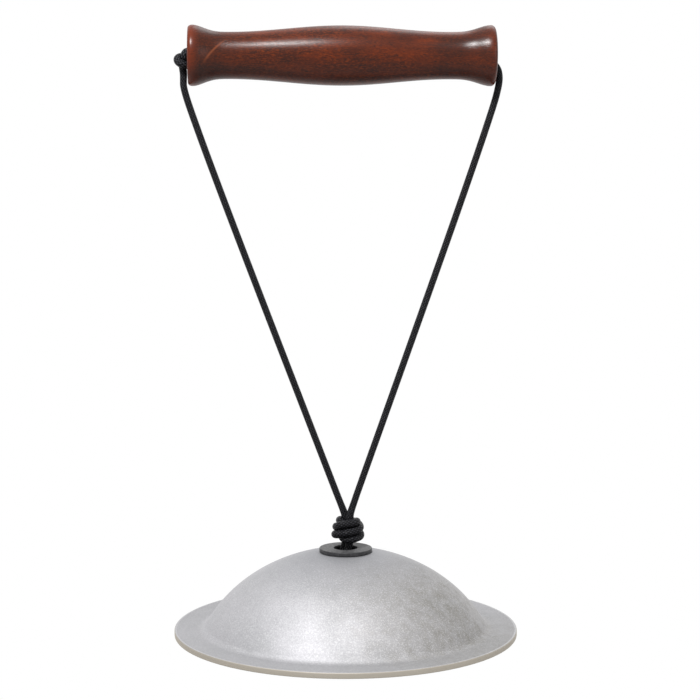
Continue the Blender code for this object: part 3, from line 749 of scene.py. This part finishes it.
def braided_nylon():
    """Black nylon yarn braided round a core, drawn with 8 carriers each way and one turn in 14 mm.

    The braid is coarser than the real one, so that it shows. Each crossing is a small slanting pillow
    of parallel filaments: the sine of its width to the power of a half, times a milder sine of its
    length.
    Its top is painted paler as a painted sheen. The yarn that lies on top alternates from crossing to
    crossing.
    """
    carriers, turn_length, filaments = 8.0, 0.014, 4
    made, tree = new_finish("braided_nylon_black")
    uv = lay(tree, "SeparateXYZ", {0: lay(tree, "UVMap", uv_map="braid").outputs[0]})
    around = lay(tree, "Math", {0: uv.outputs[0], 1: carriers}, operation="MULTIPLY").outputs[0]
    pick = lay(tree, "Math", {0: uv.outputs[1], 1: carriers / turn_length},
               operation="MULTIPLY").outputs[0]
    swell, fine, cells = [], [], []
    for sense in ("ADD", "SUBTRACT"):
        way = lay(tree, "Math", {0: around, 1: pick}, operation=sense).outputs[0]
        share = lay(tree, "Math", {0: way}, operation="FRACT").outputs[0]
        wave = lay(tree, "Math", {0: share, 1: math.pi}, operation="MULTIPLY").outputs[0]
        swell.append(lay(tree, "Math", {0: wave}, operation="SINE").outputs[0])
        thread = lay(tree, "Math", {0: share, 1: 2 * math.pi * filaments},
                     operation="MULTIPLY").outputs[0]
        fine.append(lay(tree, "Math", {0: thread}, operation="SINE").outputs[0])
        cells.append(lay(tree, "Math", {0: way}, operation="FLOOR").outputs[0])
    cell = lay(tree, "Math", {0: cells[0], 1: cells[1]}, operation="ADD").outputs[0]
    odd = lay(tree, "Math", {0: cell, 1: 2.0}, operation="FLOORED_MODULO").outputs[0]
    across = lay(tree, "Mix", {0: odd, 2: swell[0], 3: swell[1]}).outputs[0]
    lengthwise = lay(tree, "Mix", {0: odd, 2: swell[1], 3: swell[0]}).outputs[0]
    filament = lay(tree, "Mix", {0: odd, 2: fine[0], 3: fine[1]}).outputs[0]
    rounded = lay(tree, "Math", {0: across, 1: 0.5}, operation="POWER").outputs[0]
    crown = lay(tree, "Math", {0: lengthwise, 1: 0.5, 2: 0.5}, operation="MULTIPLY_ADD").outputs[0]
    pillow = lay(tree, "Math", {0: rounded, 1: crown}, operation="MULTIPLY").outputs[0]
    relief = lay(tree, "Math", {0: filament, 1: 0.07, 2: pillow}, operation="MULTIPLY_ADD").outputs[0]
    # Painted sheen, paler on the pillows and darker between them as painted shade, uneven in patches 1.1
    # mm across
    place = lay(tree, "TexCoord").outputs["Object"]
    fuzz = lay(tree, "TexNoise", {"Vector": place, "Scale": 900.0, "Detail": 3.0,
                                  "Roughness": 0.6}).outputs[0]
    uneven = lay(tree, "MapRange", {"Value": fuzz, "To Min": 0.5, "To Max": 1.3}).outputs[0]
    pillow_sheen = lay(tree, "Math", {0: pillow, 1: uneven}, operation="MULTIPLY").outputs[0]
    share = lay(tree, "MapRange", {"Value": pillow_sheen, "From Min": 0.52, "From Max": 0.98}).outputs[0]
    base = lay(tree, "Mix", {0: share, 6: linear("#010102"), 7: linear("#434349")},
               data_type="RGBA").outputs[2]
    bump = lay(tree, "Bump", {"Height": relief, "Strength": 0.9, "Distance": 0.0003}).outputs[0]
    shader = lay(tree, "BsdfPrincipled", {"Base Color": base, "Roughness": 0.36, "Normal": bump,
                                          "Specular IOR Level": 0.11})
    lay(tree, "OutputMaterial", {"Surface": shader.outputs[0]})
    return made


def paper_floor():
    """Matt white paper, which fades out far from the bell and shows nothing from below."""
    made, tree = new_finish("paper_white_matt")
    place = lay(tree, "TexCoord").outputs["Object"]
    level = lay(tree, "VectorMath", {0: place, 1: (1.0, 1.0, 0.0)}, operation="MULTIPLY").outputs[0]
    away = lay(tree, "VectorMath", {0: level}, operation="LENGTH").outputs["Value"]
    fade = lay(tree, "MapRange", {"Value": away, "From Min": 0.25, "From Max": 0.65},
               interpolation_type="SMOOTHSTEP").outputs[0]
    under = lay(tree, "NewGeometry").outputs["Backfacing"]
    gone = lay(tree, "Math", {0: fade, 1: under}, operation="MAXIMUM").outputs[0]
    paper = lay(tree, "BsdfDiffuse", {"Color": linear("#F4F4F4")}).outputs[0]
    # The camera alone sees it a little paler than it is lit, so that it stays near white
    seen = lay(tree, "LightPath").outputs["Is Camera Ray"]
    seen = lay(tree, "Math", {0: seen, 1: 0.22}, operation="MULTIPLY").outputs[0]
    paler = lay(tree, "Emission", {"Strength": seen}).outputs[0]
    paper = lay(tree, "AddShader", {0: paper, 1: paler}).outputs[0]
    clear = lay(tree, "BsdfTransparent").outputs[0]
    mixed = lay(tree, "MixShader", {0: gone, 1: paper, 2: clear}).outputs[0]
    lay(tree, "OutputMaterial", {"Surface": mixed})
    return made


def softbox(name, place, aim, width, height, power):
    """A soft rectangular lamp that faces a point."""
    data = bpy.data.lights.new(name, "AREA")
    data.shape = "RECTANGLE"
    data.size, data.size_y = width, height
    data.energy = power
    lamp = bpy.data.objects.new(name, data)
    lamp.location = place
    way = np.array(aim) - np.array(place)
    flat = math.hypot(way[0], way[1])
    lamp.rotation_euler = (math.atan2(flat, -way[2]), 0.0, math.atan2(way[1], way[0]) - math.pi / 2)
    bpy.context.scene.collection.objects.link(lamp)


# Camera: a 105 mm lens a metre off, a little left of square and looking slightly down
camera = bpy.data.objects.new("camera", bpy.data.cameras.new("camera"))
camera.data.lens = 105.18
camera.data.sensor_width = 36.0
camera.location = (-0.0433, -1.040, -0.0236)
camera.rotation_euler = (math.radians(90 - 6.893), 0.0, math.radians(-2.607))
bpy.context.scene.collection.objects.link(camera)
bpy.context.scene.camera = camera

# Cord, which bends between the sling and the knot just over the crown knot
line = shifted_mean(cord_line(), 4)
cord = cord_surface("braided_cord", line)
cord.data.materials.append(braided_nylon())
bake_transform(cord)
cord_words = ("knot", "leg", "bend", "bore")
cord_pieces = [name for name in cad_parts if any(word in name for word in cord_words)]
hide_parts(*cord_pieces)
# The row of the line where the cord's first tail comes out under the lower washer
first_tail = line[:600]
exit_row = np.abs(first_tail[:, 2] - (LOWER_WASHER_Z - WASHER_THICKNESS / 2)).argmin()

# Handle, bell and washers
handle = turned_surface("turned_handle", handle_outline(), 128, axis="X")
handle.data.materials.append(stained_hardwood())
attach(handle, "handle")
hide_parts("handle")

seat_height = float(dome(SEAT_RADIUS)[0])
bell = turned_surface("domed_bell", bell_outline(), 256, centre=(BELL_AXIS_X, 0.0, SEAT_Z - seat_height))
bell.data.materials.append(blasted_aluminium())
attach(bell, "bell")
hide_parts("bell")

rubber = dark_rubber()
for name, body, height in (("upper_washer", "top_washer", WASHER_TOP_Z - WASHER_THICKNESS / 2),
                           ("lower_washer", "seat", LOWER_WASHER_Z)):
    washer = turned_surface("rubber_" + name, washer_outline(), 128, centre=(BELL_AXIS_X, 0.0, height))
    washer.data.materials.append(rubber)
    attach(washer, body)
    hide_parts(name)

# Floor, a quarter of a metre below the bell
floor_half, floor_z = 1.2, -0.56
corners = np.array([(-1, -1), (1, -1), (1, 1), (-1, 1)]) * floor_half
corners = np.hstack([corners, np.full((4, 1), floor_z)])
floor = put_in_mesh("floor", corners, np.array([[0, 1, 2, 3]]), smooth=False)
floor.data.materials.append(paper_floor())

bpy.context.scene.view_settings.view_transform = "Standard"

# World: white where the camera or a gloss sees it, and a softer even light on everything else
world = bpy.data.worlds.new("studio")
world.use_nodes = True
bpy.context.scene.world = world
tree = world.node_tree
tree.nodes.clear()
ray = lay(tree, "LightPath").outputs
seen = ray["Is Camera Ray"]
for kind in ("Is Glossy Ray", "Is Transmission Ray"):
    seen = lay(tree, "Math", {0: seen, 1: ray[kind]}, operation="MAXIMUM").outputs[0]
level = lay(tree, "MapRange", {"Value": seen, "To Min": 0.17, "To Max": 1.0}).outputs[0]
light = lay(tree, "Background", {"Color": (1.0, 1.0, 1.0, 1.0), "Strength": level})
lay(tree, "OutputWorld", {"Surface": light.outputs[0]})

# Lamps: the key high on the left, a weak fill from the right and a weaker one high at the back
softbox("key", (-0.42, -0.90, 1.22), (0.0, 0.0, -0.12), width=0.4, height=0.25, power=31.0)
softbox("fill", (1.1, -0.9, 0.3), (0.0, 0.0, -0.15), width=0.8, height=0.8, power=2.6)
softbox("back", (0.30, 0.85, 0.85), (0.0, 0.0, -0.05), width=0.6, height=0.6, power=1.8)
